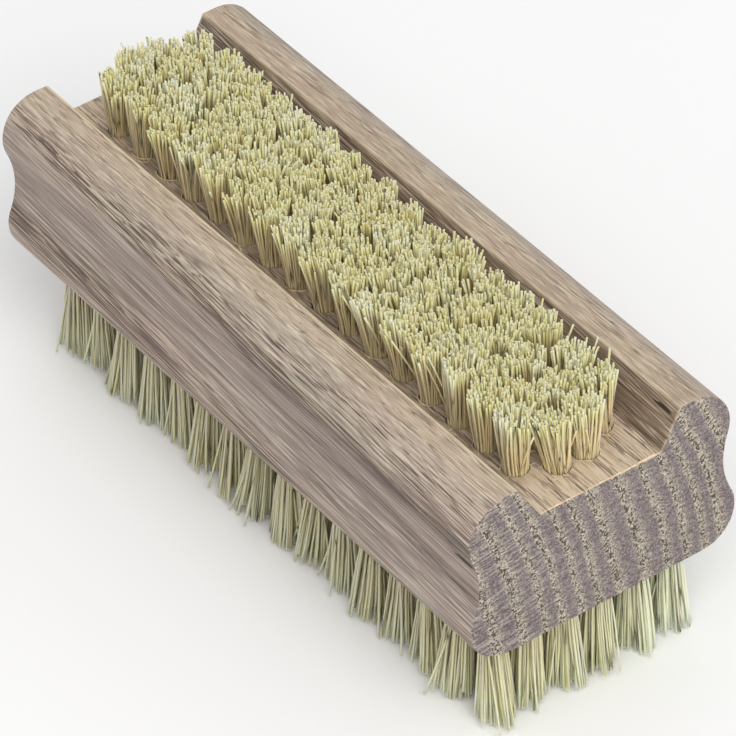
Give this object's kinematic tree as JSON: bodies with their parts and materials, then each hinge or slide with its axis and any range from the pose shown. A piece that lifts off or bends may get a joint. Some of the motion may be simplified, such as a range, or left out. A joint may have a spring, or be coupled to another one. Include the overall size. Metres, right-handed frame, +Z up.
{
  "type": "nail brush",
  "caption": "Double-sided nail brush: a grooved wooden block with short fibre tufts in a channel on top and longer fanned tufts below.",
  "frame": {"origin": "centre of the bounding box's bottom, on the plane of the bottom bristle tips, which the brush stands on", "axes": "+X along the block towards its front end, +Y across the block, +Z up from the bottom tufts to the top tufts"},
  "size_m": [0.095, 0.0374, 0.0403],
  "materials": {
    "wood": "raw and unvarnished, planed along the sides, rough sawn at the ends",
    "bristle": "pale plant fibre, undyed",
    "wire": "drawn flat wire"
  },
  "bodies": {
    "root": {"block": "wood", "top_tufts_row_1": "bristle", "top_tufts_row_2": "bristle", "top_tufts_row_3": "bristle", "top_tufts_row_4": "bristle", "bottom_tufts_row_1": "bristle", "bottom_tufts_row_2": "bristle", "bottom_tufts_row_3": "bristle", "bottom_tufts_row_4": "bristle", "bottom_tufts_row_5": "bristle", "bottom_tufts_row_6": "bristle", "top_anchors_row_1": "wire", "top_anchors_row_2": "wire", "top_anchors_row_3": "wire", "top_anchors_row_4": "wire", "bottom_anchors_row_1": "wire", "bottom_anchors_row_2": "wire", "bottom_anchors_row_3": "wire", "bottom_anchors_row_4": "wire", "bottom_anchors_row_5": "wire", "bottom_anchors_row_6": "wire"}
  },
  "joints": []
}
